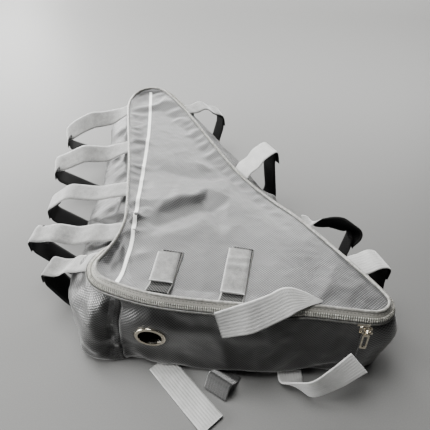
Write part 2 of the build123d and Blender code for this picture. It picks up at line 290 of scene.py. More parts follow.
def subdivide(obj, levels=1):
    """Adds smooth subdivision, with sharp corners kept at open edges."""
    sub = obj.modifiers.new("smooth", "SUBSURF")
    sub.levels = sub.render_levels = levels
    sub.boundary_smooth = "PRESERVE_CORNERS"


def thicken(obj, thickness, offset=-1.0):
    """Makes a sheet into a thin solid, inwards unless the offset says else."""
    shell = obj.modifiers.new("thickness", "SOLIDIFY")
    shell.thickness = thickness * MM
    shell.offset = offset


def settle(obj, body, slot, *nodes):
    """Fixes a piece to a body and hides the nodes it stands for; a hinge piece only has its transform baked.
    The slot is not used.
    """
    if body == "hinge":
        blend_at_hinge(obj)
    else:
        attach(obj, body)
    if nodes:
        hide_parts(*nodes)


def blend_at_hinge(obj):
    """Bakes the piece's transform into its mesh."""
    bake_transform(obj)


def grid_faces(rows, columns, closed=False):
    """Quads of a grid of rows by columns; closed joins the last column to the first."""
    faces = []
    last = columns if closed else columns - 1
    for r in range(rows - 1):
        for c in range(last):
            d = (c + 1) % columns
            faces.append((r * columns + c, r * columns + d, (r + 1) * columns + d, (r + 1) * columns + c))
    return faces


# ---------------------------------------------------------------- materials


class Nodes:
    """A material's node tree, with short calls for the nodes that the fabrics share."""

    def __init__(self, name):
        self.material = bpy.data.materials.new(name)
        self.material.use_nodes = True
        self.tree = self.material.node_tree
        self.shader = self.tree.nodes["Principled BSDF"]

    def add(self, kind, **values):
        """A new node with its settings."""
        node = self.tree.nodes.new(kind)
        for key, value in values.items():
            setattr(node, key, value)
        return node

    def link(self, source, target):
        self.tree.links.new(source, target)

    def math(self, operation, a, b=0.0):
        """A maths node on two values, each a number or another node's output."""
        node = self.add("ShaderNodeMath", operation=operation)
        for socket, value in zip(node.inputs, (a, b)):
            if isinstance(value, (int, float)):
                socket.default_value = value
            else:
                self.link(value, socket)
        return node.outputs[0]

    def scaled(self, value, factor, plus):
        """value times factor, plus a constant."""
        total = self.math("MULTIPLY_ADD", value, factor)
        total.node.inputs[2].default_value = plus
        return total

    def mixed(self, *parts):
        """The sum of values, each times its weight."""
        total = 0.0
        for value, weight in parts:
            total = self.math("ADD", total, self.math("MULTIPLY", value, weight))
        return total

    def coordinates(self):
        """(u, v) in metres across the cloth."""
        split = self.add("ShaderNodeSeparateXYZ")
        self.link(self.add("ShaderNodeUVMap", uv_map="UVMap").outputs[0], split.inputs[0])
        return split.outputs[0], split.outputs[1]

    def wave(self, along, pitch):
        """Sine of a length, one turn to each pitch in millimetres."""
        return self.math("SINE", self.math("MULTIPLY", along, 2 * pi / (pitch * MM)))

    def noise(self, size, detail=3.0):
        """Soft noise whose features are about size millimetres across."""
        node = self.add("ShaderNodeTexNoise")
        node.inputs["Scale"].default_value = 1.0 / (size * MM)
        node.inputs["Detail"].default_value = detail
        self.link(self.add("ShaderNodeTexCoord").outputs["Object"], node.inputs["Vector"])
        return node.outputs["Fac"]

    def colour(self, factor, low, high, start=0.0, end=1.0):
        """Base colour from one tint to another as a factor goes from start to end."""
        node = self.add("ShaderNodeValToRGB")
        for element, at, colour in zip(node.color_ramp.elements, (start, end), (low, high)):
            element.position = at
            element.color = (*colour, 1.0)
        self.link(factor, node.inputs[0])
        self.link(node.outputs[0], self.shader.inputs["Base Color"])

    def bump(self, height, depth, strength=1.0):
        """Adds a bump of that depth in millimetres over the bumps before it."""
        node = self.add("ShaderNodeBump")
        node.inputs["Strength"].default_value = strength
        node.inputs["Distance"].default_value = depth * MM
        self.link(height, node.inputs["Height"])
        normal = self.shader.inputs["Normal"]
        if normal.is_linked:
            self.link(normal.links[0].from_socket, node.inputs["Normal"])
        self.link(node.outputs[0], normal)

    def set(self, **values):
        """Sets constants on the shader."""
        for key, value in values.items():
            self.shader.inputs[key.replace("_", " ")].default_value = value


def woven_fabric(name, dark, light, roughness, pitch=3.0, sheen=0.6):
    """Coated polyester with a fine weave, a soft sheen and faint handling marks."""
    n = Nodes(name)
    u, v = n.coordinates()
    weave = n.math("MULTIPLY", n.wave(u, pitch), n.wave(v, pitch))
    worn = n.noise(38.0, 4.0)
    n.colour(n.mixed((n.scaled(weave, 0.3, 0.5), 0.7), (worn, 0.3)), dark, light, 0.3, 0.7)
    n.link(n.scaled(n.noise(16.0), 0.16, roughness - 0.08), n.shader.inputs["Roughness"])
    n.link(n.scaled(weave, 0.4, 0.8), n.shader.inputs["Specular IOR Level"])
    n.set(Sheen_Weight=sheen, Sheen_Roughness=0.35)
    n.bump(worn, 0.7, 0.35)
    n.bump(weave, 0.13, 1.0)
    return n.material


def ribbed_webbing(name, dark, light):
    """Ribbed elastic webbing: the ribs are in the mesh, and the yarns cross them here."""
    n = Nodes(name)
    u, v = n.coordinates()
    yarn = n.wave(v, 1.1)
    rib = n.wave(u, LOOP_WIDTH / RIBS)
    crossing = n.scaled(n.math("MULTIPLY", yarn, rib), 0.25, 0.5)
    n.colour(n.mixed((crossing, 0.7), (n.noise(9.0, 5.0), 0.3)), dark, light, 0.25, 0.75)
    n.set(Roughness=0.62, Sheen_Weight=0.7, Sheen_Roughness=0.4, Specular_IOR_Level=0.5)
    n.bump(n.noise(0.7, 2.0), 0.2, 0.5)
    n.bump(yarn, 0.12, 0.7)
    return n.material


def pile_webbing(name, dark, light):
    """Brushed loop pile on a woven tape, with bare selvedges."""
    n = Nodes(name)
    u, v = n.coordinates()
    fuzz = n.noise(0.9, 5.0)
    patches = n.noise(7.0, 4.0)
    edge = n.math("GREATER_THAN", n.math("ABSOLUTE", u), (LOOP_WIDTH / 2 - SELVEDGE) * MM)
    n.colour(n.mixed((fuzz, 0.55), (patches, 0.45), (edge, 0.16)), dark, light, 0.32, 0.68)
    n.set(Roughness=0.88, Sheen_Weight=1.0, Sheen_Roughness=0.45, Specular_IOR_Level=0.3)
    n.bump(n.math("MULTIPLY", n.wave(v, 1.0), edge), 0.12, 0.7)
    n.bump(fuzz, 0.45, 0.8)
    return n.material


def hook_webbing(name, dark, light):
    """Stiff nylon hooks in staggered rows, between pale woven selvedges."""
    n = Nodes(name)
    u, v = n.coordinates()
    rows = n.math("MULTIPLY", n.wave(u, 3.2), n.wave(v, 3.6))
    hooks = n.math("GREATER_THAN", n.mixed((rows, 1.0), (n.noise(0.8), 0.5)), 0.35)
    edge = n.math("GREATER_THAN", n.math("ABSOLUTE", u), (LOOP_WIDTH / 2 - HOOK_SELVEDGE) * MM)
    shown = n.math("MAXIMUM", n.math("MULTIPLY", hooks, 0.22), edge)
    n.colour(shown, dark, light)
    n.set(Roughness=0.75, Specular_IOR_Level=0.2)
    n.bump(hooks, 0.7, 0.9)
    return n.material


def tape_cloth(name, dark, light):
    """Herringbone zip tape."""
    n = Nodes(name)
    u, v = n.coordinates()
    slant = n.wave(n.math("ADD", u, n.math("MULTIPLY", v, 0.8)), 1.1)
    n.colour(n.mixed((n.scaled(slant, 0.22, 0.5), 1.0), (n.noise(6.0), 0.5)), dark, light, 0.1, 0.6)
    n.set(Roughness=0.55, Sheen_Weight=0.8, Sheen_Roughness=0.35, Specular_IOR_Level=0.6)
    n.bump(slant, 0.12, 0.7)
    return n.material


def plastic(name, dark, light, roughness, size=3.0, depth=0.05):
    """Moulded or extruded plastic with a faint mottle."""
    n = Nodes(name)
    mottle = n.noise(size, 4.0)
    n.colour(mottle, dark, light, 0.35, 0.65)
    n.set(Roughness=roughness, Specular_IOR_Level=0.6)
    n.bump(mottle, depth, 0.6)
    return n.material


def plated_metal(name):
    """Warm nickel plate: fine scratches and duller patches."""
    n = Nodes(name)
    marks = n.noise(2.2, 6.0)
    n.colour(marks, (0.62, 0.55, 0.43), (0.86, 0.80, 0.68), 0.35, 0.65)
    n.link(n.scaled(marks, 0.22, 0.1), n.shader.inputs["Roughness"])
    n.set(Metallic=1.0)
    n.bump(n.noise(0.5, 3.0), 0.03, 0.5)
    return n.material


def reflective_tape(name):
    """Silver-white retroreflective tape: tiny glass beads and a fine crosshatch."""
    n = Nodes(name)
    u, v = n.coordinates()
    hatch = n.math("MULTIPLY", n.wave(n.math("ADD", u, v), 1.0), n.wave(n.math("SUBTRACT", u, v), 1.0))
    beads = n.noise(0.35, 2.0)
    tone = n.mixed((beads, 1.0), (hatch, 0.12))
    n.colour(tone, (0.72, 0.72, 0.70), (0.95, 0.95, 0.93), 0.3, 0.7)
    n.set(Roughness=0.38, Specular_IOR_Level=0.8, Sheen_Weight=0.6, Sheen_Roughness=0.3)
    n.bump(beads, 0.05, 0.6)
    return n.material


def studio_floor(name):
    """Plain pale matt floor with a hint of grain."""
    n = Nodes(name)
    grain = n.noise(1.2, 2.0)
    n.colour(grain, (0.125, 0.125, 0.123), (0.145, 0.145, 0.142), 0.3, 0.7)
    n.set(Roughness=0.5, Specular_IOR_Level=0.35)
    return n.material


FACE_CLOTH = woven_fabric("face_fabric", (0.020, 0.020, 0.021), (0.056, 0.056, 0.057), 0.37)
# A darker copy of the face fabric for the same cloth on the walls: their dark is painted shade.
SIDE_CLOTH_PAINTED_SHADE = woven_fabric("side_fabric", (0.006, 0.006, 0.006), (0.017, 0.017, 0.017), 0.37, sheen=0.3)
LINING = woven_fabric("lining_fabric", (0.008, 0.008, 0.008), (0.016, 0.016, 0.016), 0.6, 1.2)
# Paler than the webbing's own dark grey: partly its colour, partly painted light on straps turned from the
# lamps.
RIBBED_WITH_PAINTED_LIGHT = ribbed_webbing("ribbed_webbing", (0.22, 0.22, 0.216), (0.62, 0.62, 0.61))
# A near-black copy of the ribbed webbing: painted shade on the stub strap's face turned from the lamps.
RIBBED_PAINTED_SHADE = ribbed_webbing("ribbed_webbing_painted_shade", (0.014, 0.014, 0.014), (0.05, 0.05, 0.05))
PILE = pile_webbing("pile_webbing", (0.09, 0.09, 0.088), (0.24, 0.24, 0.234))
HOOKS = hook_webbing("hook_webbing", (0.006, 0.006, 0.006), (0.34, 0.34, 0.33))
# A near-black copy of the hook webbing for the loops' insides and lower straps: painted shade.
LOOP_INSIDE_PAINTED_SHADE = hook_webbing("loop_inside_painted_shade", (0.004, 0.004, 0.004), (0.02, 0.02, 0.02))
TAPE = tape_cloth("zip_tape", (0.10, 0.098, 0.088), (0.30, 0.292, 0.265))
COIL = plastic("zip_coil", (0.20, 0.195, 0.175), (0.46, 0.45, 0.41), 0.3)
VINYL = plastic("piping_vinyl", (0.13, 0.128, 0.118), (0.28, 0.275, 0.258), 0.28)
BINDING = plastic("turned_edge", (0.05, 0.05, 0.047), (0.12, 0.12, 0.113), 0.32)
THREAD = plastic("thread", (0.015, 0.015, 0.015), (0.06, 0.06, 0.058), 0.6, 0.6)
METAL = plated_metal("nickel_plate")
SILVER = reflective_tape("reflective_tape")


# ---------------------------------------------------------------- camera, light, stage


def camera():
    data = bpy.data.cameras.new("camera")
    data.lens = 36.59
    data.sensor_width = 36.0
    data.clip_start = 0.01
    obj = bpy.data.objects.new("camera", data)
    obj.location = (0.035, -0.350, 0.465)
    obj.rotation_euler = (radians(45.0), 0.0, radians(5.93))
    bpy.context.scene.collection.objects.link(obj)
    bpy.context.scene.camera = obj


def soft_light(name, place, target, size, power, colour=(1.0, 1.0, 0.985)):
    """A rectangular softbox aimed at a target."""
    data = bpy.data.lights.new(name, "AREA")
    data.shape = "RECTANGLE"
    data.size, data.size_y = size
    data.energy = power
    data.color = colour
    obj = bpy.data.objects.new(name, data)
    obj.location = place
    aim = Vector(target) - Vector(place)
    obj.rotation_euler = aim.to_track_quat("-Z", "Y").to_euler()
    bpy.context.scene.collection.objects.link(obj)


def lights():
    world = bpy.data.worlds.new("world")
    bpy.context.scene.world = world
    world.use_nodes = True
    world.node_tree.nodes["Background"].inputs[0].default_value = (0.8, 0.8, 0.8, 1)
    world.node_tree.nodes["Background"].inputs[1].default_value = 0.02
    soft_light("back_softbox", (0.0, 1.28, 0.66), (0.02, 0.1, 0.0), (1.9, 0.24), 40.0)
    soft_light("top_softbox", (-0.3, 0.1, 1.35), (0.0, 0.0, 0.0), (0.9, 0.7), 32.0)
    soft_light("left_softbox", (-1.25, -0.36, 0.34), (-0.12, -0.05, 0.05), (0.9, 0.4), 34.0)
    soft_light("left_back_softbox", (-1.1, 1.0, 0.45), (-0.12, 0.0, 0.05), (0.9, 0.5), 34.0)


def stage():
    """Pale floor that sweeps up behind into a backdrop."""
    near, far, radius, top, half = -2500.0, 900.0, 500.0, 1600.0, 3000.0
    side = [(near, 0.0), (far, 0.0)]
    for k in range(1, 17):
        turn = k * pi / 32
        side.append((far + radius * sin(turn), radius * (1 - cos(turn))))
    side.append((far + radius, top))
    points = [(x, y, z) for y, z in side for x in (-half, half)]
    floor = mesh_object("floor", points, grid_faces(len(side), 2), materials=[studio_floor("studio_floor")])


camera()
lights()
stage()


# ---------------------------------------------------------------- the bag's surface


def seam_ring():
    """Samples of the seam: points, outward directions, and how far each belongs to the base side."""
    ring = spline(SEAM, closed=True, step=GRID)
    ahead = unit((np.roll(ring, -1, 0) - np.roll(ring, 1, 0))[:, :2])
    out = np.stack([ahead[:, 1], -ahead[:, 0]], axis=1)
    out = unit(smooth(out, 3, closed=True))
    base = ease(-out[:, 1], 0.55, 0.97)
    return ring, out, smooth(base, 4, closed=True)


RING, OUT, BASE_SIDE = seam_ring()
# Where the face rolls over the zip and hides it: along the left side
TUCK = ease(-OUT[:, 0], 0.6, 0.95) * ease(RING[:, 1], -70, -30)
# How much of the long side has no zip
NO_ZIP = ease((RING - HINGE) @ HINGE_OUT, -14, -4) * ease((RING - HINGE) @ HINGE_DIR, -6, 6)
NO_ZIP = NO_ZIP * (1 - ease((RING - HINGE) @ HINGE_DIR, 330, 342))


def corner_share():
    """How far each ring sample takes the slim section of corner C."""
    along = np.clip(((RING - HINGE) @ HINGE_DIR - 20) / 330, 0, 1) ** 1.5
    long_side = ease(OUT @ HINGE_OUT[:2], 0.2, 0.7)
    return np.maximum(along * long_side, ease(RING[:, 0], 50, 172) * ease(-OUT[:, 1], 0.2, 0.7))


def wall_section():
    """The wall's section at every ring sample, from the seam down to the floor, as (out, height)."""
    height, side, base, corner_c, corner_b = np.array(WALL, float)[::-1].T
    slims = smooth(corner_share(), 6, closed=True)
    fulls = hump(np.linalg.norm(RING[:, :2] - CORNER_B, axis=1), 0.0, CORNER_B_REACH)
    bulge = 1 + hump(RING[:, 1], *LEFT_BULGE) * ease(-OUT[:, 0], 0.3, 0.9)
    bulge += hump((RING - HINGE) @ HINGE_DIR, *LONG_BULGE) * ease(OUT @ HINGE_OUT[:2], 0.5, 0.9)
    sections = []
    for share, slim, full, tuck, swell in zip(BASE_SIDE, slims, fulls, TUCK, bulge):
        out = (side * swell * (1 - share) + base * share) * (1 - slim) + corner_c * slim
        out = out * (1 - full) + corner_b * full
        high = ease(height, 76, 90)
        out = out * (1 - 0.8 * tuck * high) - 2.5 * tuck * high * (height < TOP)
        sections.append(np.stack([out, height], axis=1))
    return sections


SECTIONS = wall_section()
LENGTHS = [lengths(section) for section in SECTIONS]


def section_at(i, distance):
    """Distance out and height on the wall at ring sample i, a distance down from the seam."""
    return np.array([np.interp(distance, LENGTHS[i], column) for column in SECTIONS[i].T])


def wall_point(i, distance, lift=0.0):
    """Point on the wall at ring sample i, a distance down from the seam, lifted off the surface."""
    out, height = section_at(i, distance)
    if lift:
        d_out, d_high = section_at(i, distance + 1) - section_at(i, distance - 1)
        away = unit(np.array([-d_high, d_out]))
        out, height = out + away[0] * lift, height + away[1] * lift
    return np.array([*(RING[i, :2] + OUT[i] * out), height * (RING[i, 2] / TOP)])


# The front panel's large creases: lines of (x, y, height), with flat facets of cloth between them
RELIEF = [
    [(-117, 68, 0), (-100, 87, -1), (-82, 97, -2.5), (-58, 92, -3), (-35, 87, -3), (-14, 90, -2), (4, 96, 0)],
    [(-10, 83, 1.5), (-21, 66, 5), (-26, 51, 8), (-33, 45, 9.5), (-50, 41, 9), (-65, 31, 7), (-76, 13, 3.5),
     (-84, 1, 1)],
    [(-23, 38, 0.5), (-33, 33, -0.5), (-48, 27, -1), (-60, 17, -1), (-70, 2, 0)],
    [(-68, -8, -2), (-53, 4, -3), (-41, 15, -3.5), (-27, 25, -3)],
    [(-72, -26, 1.5), (-49, -18, 3), (-30, -6, 3.5), (-15, 10, 3)],
    [(-19, 48, -1), (-8, 29, -4), (1, 12, -2.5)],
    [(8, 78, 4), (24, 62, 4), (14, 50, 4), (10, 32, 3.5), (11, 12, 2)],
    [(20, 88, 0), (42, 62, 1.5), (56, 40, 2)],
    [(50, 34, 2.5), (36, 30, 3), (24, 18, 2), (17, 0, 2), (8, -16, 2), (-8, -28, 1.5), (-28, -36, 1),
     (-48, -44, 0.5), (-72, -42, 0)],
    [(-140, 240, 0), (-132, 190, 0), (-122, 130, 0), (-100, 120, 0), (-60, 118, 0), (-20, 116, 0)],
    [(-100, 180, 0), (-60, 170, 0.5), (-90, 220, 0)],
    [(-100, -80, 0), (-60, -76, 0), (0, -70, 0), (60, -74, 0), (130, -76, 0)],
    [(40, -30, 0.5), (80, -20, 1), (110, -46, 0)],
]
# Small folds in it: points, height, width
FOLDS = [
    ([(-146, 179), (-131, 184)], 1.8, 6),
    ([(-138, 153), (-112, 153)], 2.2, 6),
    ([(-122, 93), (-105, 97)], 1.8, 6),
    ([(-154, 218), (-128, 219)], 1.8, 7),
    ([(-115, 24), (-98, 30), (-84, 28)], 3.0, 6),
    ([(-113, 6), (-100, 3), (-85, 2)], 3.4, 6),
    ([(-110, -14), (-98, -4), (-86, 12)], 3.4, 6),
    ([(-108, -28), (-96, -22), (-84, -20)], 2.4, 6),
    ([(-112, 15), (-100, 15)], -2.6, 5),
    ([(-104, -92), (-107, -60), (-103, -34)], -4.5, 10),
    ([(-40, 122), (-24, 114)], 2.0, 7),
    ([(-84, -58), (-70, -50)], 1.6, 6),
    ([(-76, 60), (-58, 62)], 0.9, 5),
]
# Creases in the walls: lines of (x, y, z), height, width
WALL_CREASES = [
    ([(-108, -134, 20), (-96, -138, 24), (-83, -139, 25)], -7.0, 7),
    ([(-102, -128, 36), (-85, -134, 38), (-70, -136, 42)], 4.5, 8),
    ([(-102, -120, 62), (-100, -126, 46), (-107, -134, 22)], -5.0, 7),
    ([(-119, -118, 58), (-117, -130, 32), (-99, -148, 5)], 6.0, 8),
    ([(-131, -104, 60), (-132, -116, 24)], -4.0, 8),
    ([(-142, -88, 66), (-148, -92, 30)], 4.5, 8),
    ([(-108, 0, 92), (-140, 14, 76), (-166, 32, 50)], 5.0, 8),
    ([(-112, 8, 88), (-140, -2, 72), (-170, 6, 45)], -5.0, 8),
    ([(-110, -16, 90), (-140, -20, 72), (-168, -24, 45)], 5.0, 8),
    ([(-112, -46, 90), (-138, -48, 70), (-160, -50, 40)], 4.5, 8),
    ([(-116, -62, 86), (-140, -68, 66), (-152, -76, 34)], -4.5, 8),
    ([(-118, 58, 90), (-146, 76, 72), (-172, 92, 48)], 4.5, 8),
    ([(-122, 78, 86), (-150, 66, 68), (-176, 58, 40)], -4.0, 8),
    ([(-136, 132, 90), (-160, 146, 68), (-182, 156, 46)], 4.0, 8),
    ([(-140, 154, 84), (-164, 168, 64), (-188, 174, 42)], -4.0, 8),
    ([(60, 62, 88), (80, 84, 78), (92, 98, 60)], 5.0, 8),
    ([(70, 50, 88), (92, 72, 76), (100, 84, 60)], -4.0, 8),
    ([(84, 36, 90), (102, 56, 78), (110, 70, 60)], 4.5, 8),
    ([(30, 100, 86), (56, 126, 74), (64, 138, 56)], 4.5, 9),
    ([(-4, 150, 86), (24, 166, 72), (32, 180, 54)], 4.0, 9),
    ([(176, -90, 88), (184, -100, 50), (182, -102, 20)], 3.5, 7),
]


def fold_height(points, folds):
    """How far folds lift each point: each a straight-sided ridge that fades at its ends."""
    lift = np.zeros(len(points))
    for line, height, width in folds:
        line = spline([(*p, 0.0)[:3] for p in line], step=2.0)
        gaps = np.linalg.norm(points[:, None, :] - line[None, :, :points.shape[1]], axis=2)
        place = gaps.argmin(1) / (len(line) - 1)
        fade = np.sqrt(np.sin(pi * (0.06 + 0.88 * place)))
        lift += height * fade * np.clip(1 - gaps.min(1) / (1.5 * width), 0, 1) ** 1.4
    return lift


def relief_sheet():
    """The large creases joined by flat facets, level at the seam, ready to be looked up."""
    corners = [(x, y, 0.0) for x, y in RING[::3, :2]]
    edges = [(k, (k + 1) % len(corners)) for k in range(len(corners))]
    for line in RELIEF:
        edges += [(len(corners) + k, len(corners) + k + 1) for k in range(len(line) - 1)]
        corners += line
    places = [Vector(p[:2]) for p in corners]
    flat, _, faces, origins, *_ = geometry.delaunay_2d_cdt(places, edges, [], 1, 1e-4)
    heights = [corners[origin[0]][2] if origin else 0.0 for origin in origins]
    return BVHTree.FromPolygons([(p.x, p.y, h) for p, h in zip(flat, heights)], faces)


def relax(values, edges, passes, fixed=False):
    """Spreads the fixed points' values over the rest, as a stretched skin would."""
    for _ in range(passes):
        total = np.zeros_like(values)
        count = np.zeros(len(values))
        np.add.at(total, edges[:, 0], values[edges[:, 1]])
        np.add.at(total, edges[:, 1], values[edges[:, 0]])
        np.add.at(count, edges[:, 0], 1)
        np.add.at(count, edges[:, 1], 1)
        values = np.where(fixed, values, total / np.maximum(count, 1))
    return values


def cap_mesh():
    """Triangles over the seam's outline: the ring's samples first, then an even lattice inside."""
    ring = RING[:, :2]
    low, high = ring.min(0), ring.max(0)
    rise = GRID * 0.866
    inside = []
    area = [Vector(p) for p in ring]
    for row in range(int((high[1] - low[1]) / rise) + 1):
        shift = 0.5 * GRID if row % 2 else 0.0
        for column in range(int((high[0] - low[0]) / GRID) + 1):
            p = np.array([low[0] + shift + column * GRID, low[1] + row * rise])
            gap = np.linalg.norm(ring - p, axis=1)
            k = gap.argmin()
            if gap[k] > 0.7 * GRID and (p - ring[k]) @ OUT[k] < 0:
                inside.append(Vector(p))
    count = len(ring)
    edges = [(i, (i + 1) % count) for i in range(count)]
    points, _, faces, *_ = geometry.delaunay_2d_cdt(area + inside, edges, [], 1, 1e-6)
    return np.array([(p.x, p.y) for p in points]), [tuple(f) for f in faces]


def mesh_edges(faces):
    """Each edge once, as a pair of point numbers."""
    pairs = {tuple(sorted((f[k], f[(k + 1) % len(f)]))) for f in faces for k in range(len(f))}
    return np.array(sorted(pairs))


def seam_gap(xy):
    """How far points are from the seam, seen from above."""
    return np.linalg.norm(xy[:, None, :] - RING[None, :, :2], axis=2).min(1)


def face_surface(xy, faces):
    """Heights of the front panel before draping: the seam's height, a slight crown and the folds."""
    count = len(RING)
    z = np.full(len(xy), TOP)
    z[:count] = RING[:, 2]
    fixed = np.arange(len(xy)) < count
    z = relax(z, mesh_edges(faces), 500, fixed)
    inset = seam_gap(xy)
    return z + 2.0 * ease(inset, 0, 30) - 1.5 * ease(inset, 30, 90)


def wall_rows():
    """Distances down the wall: across the zip band, then even steps, as shares of the rest."""
    band = [0.0, 4.0, 8.0, 12.0, BAND]
    steps = int(round((np.mean([length[-1] for length in LENGTHS]) - BAND) / GRID))
    return band, np.linspace(0, 1, steps + 1)[1:]


def ring_quads(upper, lower):
    """Quads between two closed rows of points."""
    return list(zip(upper, lower, np.roll(lower, -1), np.roll(upper, -1)))


def shell():
    """The whole skin: cap, wall rows and floor, with its UVs and which points are held."""
    xy, cap = cap_mesh()
    count = len(RING)
    z = face_surface(xy, cap)
    points = [np.column_stack([xy, z])]
    uv = [xy]
    along = np.arange(count) * GRID
    band, shares = wall_rows()
    rows = [np.arange(count)]
    top = len(xy)
    held = [np.concatenate([np.ones(count, bool), np.zeros(top - count, bool)])]
    levels = [(distance, 0.0) for distance in band[1:]] + [(BAND, share) for share in shares]
    for distance, share in levels:
        down = [distance + share * (length[-1] - BAND) for length in LENGTHS]
        points.append(np.array([wall_point(i, down[i]) for i in range(count)]))
        uv.append(np.column_stack([along, np.negative(down)]))
        held.append(np.full(count, share in (0.0, shares[-1])))
        rows.append(np.arange(count) + top)
        top += count
    walls = [quad for upper, lower in zip(rows, rows[1:]) for quad in ring_quads(upper, lower)]
    return np.concatenate(points), np.concatenate(uv), cap, walls, rows, np.concatenate(held)


def drape(points, faces, held):
    """Lets the skin settle as cloth a little larger than its seams allow, and caps how far it moves."""
    obj = mesh_object("drape", points, faces)
    group = obj.vertex_groups.new(name="held")
    group.add([int(i) for i in np.flatnonzero(held)], 1.0, "REPLACE")
    cloth = obj.modifiers.new("cloth", "CLOTH")
    values = dict(quality=6, mass=0.25, tension_stiffness=12.0, compression_stiffness=12.0,
                  shear_stiffness=4.0, bending_stiffness=0.35, tension_damping=8.0, compression_damping=8.0,
                  air_damping=2.0, vertex_group_mass="held", shrink_min=-GROW, use_pressure=True,
                  uniform_pressure_force=PRESSURE)
    for key, value in values.items():
        setattr(cloth.settings, key, value)
    cloth.settings.effector_weights.gravity = 0.25
    cloth.collision_settings.use_collision = False
    scene = bpy.context.scene
    scene.frame_start = cloth.point_cache.frame_start = 1
    scene.frame_end = cloth.point_cache.frame_end = DRAPE_FRAMES
    for step in range(1, DRAPE_FRAMES + 1):
        scene.frame_set(step)
    shown = obj.evaluated_get(bpy.context.evaluated_depsgraph_get())
    moved = read_points(shown.to_mesh())
    shown.to_mesh_clear()
    bpy.data.objects.remove(obj)
    scene.frame_set(1)
    shift = moved - points
    far = np.linalg.norm(shift, axis=1, keepdims=True)
    shift *= np.minimum(1, DRAPE_CAP / np.maximum(far, 1e-6))
    shift[held] = 0
    low, high, above, less = CALM
    shift *= 1 - less * (ease(points[:, 0], low, high) * (points[:, 2] > above))[:, None]
    settled = points + shift
    settled[:, 2] = np.maximum(settled[:, 2], FLOOR_GAP)
    return settled


def grommet_middle():
    """The eyelet's middle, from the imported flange."""
    low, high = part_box("grommet_flange")
    return np.array(low + high) / 2 / MM


GROMMET = grommet_middle()
# The flange is clamped on the wall's outside, so the wall's face lies this far in from the flange's front
FLANGE = 1.4
WALL_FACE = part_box("grommet_flange")[0].y / MM + FLANGE


def flatten_at_grommet(points):
    """Brings the wall flat against the eyelet's flange."""
    gap = np.linalg.norm((points - GROMMET)[:, [0, 2]], axis=1)
    near = (points[:, 1] < BASE_FACE) & (gap < EYELET_EASED)
    pull = 1 - ease(gap, EYELET_FLAT, EYELET_EASED)
    points[near, 1] += ((WALL_FACE + 0.1 - points[:, 1]) * pull)[near]
    return points


POINTS, UV, CAP, WALLS, ROWS, HELD = shell()
POINTS = drape(POINTS, CAP + WALLS, HELD)
POINTS = flatten_at_grommet(POINTS)


def fixed_mesh(obj):
    """Replaces the piece's mesh with what its modifiers make of it."""
    shown = obj.evaluated_get(bpy.context.evaluated_depsgraph_get())
    mesh = bpy.data.meshes.new_from_object(shown)
    obj.modifiers.clear()
    obj.data = mesh
    return mesh


def ridges(x, y, size, seed):
    """Sharp-crested noise from -1 to 1."""
    value = noise.noise(Vector((x / size, y / size, seed)))
    return 1.0 - 2.2 * abs(value) ** 0.7


def patch(x, y, places):
    """1 in the middle of a patch, fading away from it."""
    return hump(x, *places[0]) * hump(y, *places[1])


def face_creases(points, edges):
    """Lifts the front panel's creases, and crumples it lightly where it is handled most."""
    inset = seam_gap(points[:, :2])
    sheet = relief_sheet()
    lift = np.zeros(len(points))
    for k, (x, y, _) in enumerate(points):
        hit = sheet.ray_cast(Vector((x, y, 100)), Vector((0, 0, -1)))[0]
        lift[k] = hit.z if hit else 0.0
    lift = relax(lift, edges, 2)
    lift += fold_height(points[:, :2], FOLDS)
    for k, (x, y, _) in enumerate(points):
        crumple = patch(x, y, CRUMPLED)
        dent = patch(x, y, DENTED)
        lift[k] += ridges(x, y, 11, 3.1) * (0.2 + 1.6 * crumple) + ridges(x, y, 26, 7.7) * (0.3 + 0.6 * dent)
    moved = points.copy()
    moved[:, 2] += lift * ease(inset, 0, 8)
    return moved


def wall_creases(points, normals, edges):
    """Creases and crumples in the walls, strongest on the left and at corner B, none at the eyelet."""
    x, y, z = points.T
    left = ease(-x, 60, 110) * ease(260 - y, 0, 120)
    long_side = ease(((points - HINGE) @ HINGE_OUT), -30, 0) * 0.8
    corner = patch(x, y, CORNER_CRUMPLED)
    off_eyelet = np.hypot(x - GROMMET[0], z - GROMMET[2]) + np.where(y > BASE_FACE + 5, 200, 0)
    eyelet = ease(off_eyelet, EYELET_FLAT + 2, EYELET_EASED + 2)
    hold = ease(z, 1, 14) * (1 - ease(z, 86, 94)) * eyelet
    along = x * 0.7 - y
    lift = fold_height(points, WALL_CREASES)
    for k in range(len(points)):
        slow = noise.noise(Vector((along[k] / 30, z[k] / 50 + along[k] / 90, 1.7)))
        fine = ridges(along[k] / 18 + z[k] / 40, z[k] / 30, 1, 5.3)
        size = 0.4 + 1.5 * left[k] + 1.0 * corner[k] + long_side[k]
        lift[k] += size * (slow * 3.0 + fine * 1.1)
    lift = relax(lift, edges, 1)
    return points + normals * (lift * hold)[:, None]


def panel(name, faces, cloth, slot, body, nodes):
    """One sewn panel cut from the draped skin."""
    used = np.unique(np.array([i for f in faces for i in f]))
    place = {int(old): new for new, old in enumerate(used)}
    own_faces = [[place[int(i)] for i in f] for f in faces]
    obj = mesh_object(name, POINTS[used], own_faces, UV[used], [cloth, LINING])
    subdivide(obj)
    mesh = fixed_mesh(obj)
    points = read_points(mesh)
    normals = np.array([v.normal for v in mesh.vertices])
    edges = np.array([e.vertices[:] for e in mesh.edges])
    points = face_creases(points, edges) if body == "hinge" else wall_creases(points, normals, edges)
    mesh.vertices.foreach_set("co", (points * MM).ravel())
    mesh.update()
    thicken(obj, FABRIC)
    obj.modifiers["thickness"].material_offset = 1
    obj.modifiers["thickness"].material_offset_rim = 0
    settle(obj, body, slot, *nodes)
    return BVHTree.FromPolygons([tuple(p) for p in points], [tuple(f.vertices) for f in mesh.polygons])


# The base's wall is sewn to the side walls at these X
BASE_SEAMS = (-88.0, 152.0)


